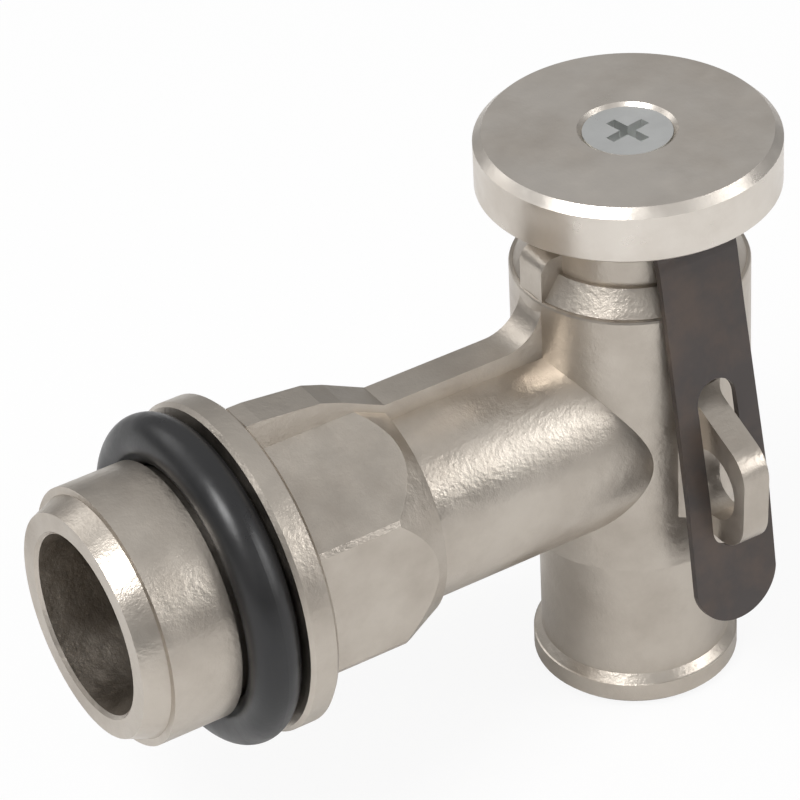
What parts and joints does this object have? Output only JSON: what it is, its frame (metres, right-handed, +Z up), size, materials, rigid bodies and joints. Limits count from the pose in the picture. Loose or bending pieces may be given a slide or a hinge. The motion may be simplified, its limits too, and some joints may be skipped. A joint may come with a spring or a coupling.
{
  "type": "lockable drum tap",
  "caption": "Angled drum tap with a threaded inlet, a plain spout, a knurled handwheel and a spring strap that hooks over a padlock lug.",
  "frame": {"origin": "on the inlet axis, where the full thread starts behind the plain pilot", "axes": "+X runs from the inlet to the spout's axis, +Z up the stem to the handwheel, and the padlock lug is on the -Y side"},
  "size_m": [0.0787, 0.0381, 0.0631],
  "materials": {
    "forged_body": "satin",
    "turned_brass": "satin",
    "plated_wheel": "satin",
    "blackened_spring_steel": "satin",
    "zinc_screw": "satin",
    "steel_pin": "satin",
    "black_rubber": "satin",
    "white_plastic": "matte"
  },
  "bodies": {
    "tap_body": {"tap_body": "forged_body", "inlet_seal_ring": "black_rubber", "thrust_washer": "white_plastic", "neck_washer": "white_plastic", "stop_pin": "steel_pin"},
    "handwheel": {"handwheel": "plated_wheel", "handwheel_screw": "zinc_screw", "valve_rotor": "turned_brass", "port_seal_pad": "black_rubber", "rotor_upper_seal": "black_rubber", "rotor_lower_seal": "black_rubber", "stem_seal": "black_rubber"},
    "locking_strap": {"locking_strap": "blackened_spring_steel"}
  },
  "joints": [
    {"name": "handwheel_turn", "type": "hinge", "parent": "tap_body", "child": "handwheel", "pos_m": [0.0612, 0, 0], "axis": [0, 0, 1], "range_deg": [0, 90], "deforming": ["locking_strap"]},
    {"name": "strap_flex", "type": "hinge", "parent": "handwheel", "child": "locking_strap", "pos_m": [0.0612, -0.00759, 0.02195], "axis": [-1, 0, 0], "range_deg": [0, 22], "stiffness_Nm_per_rad": 3}
  ]
}
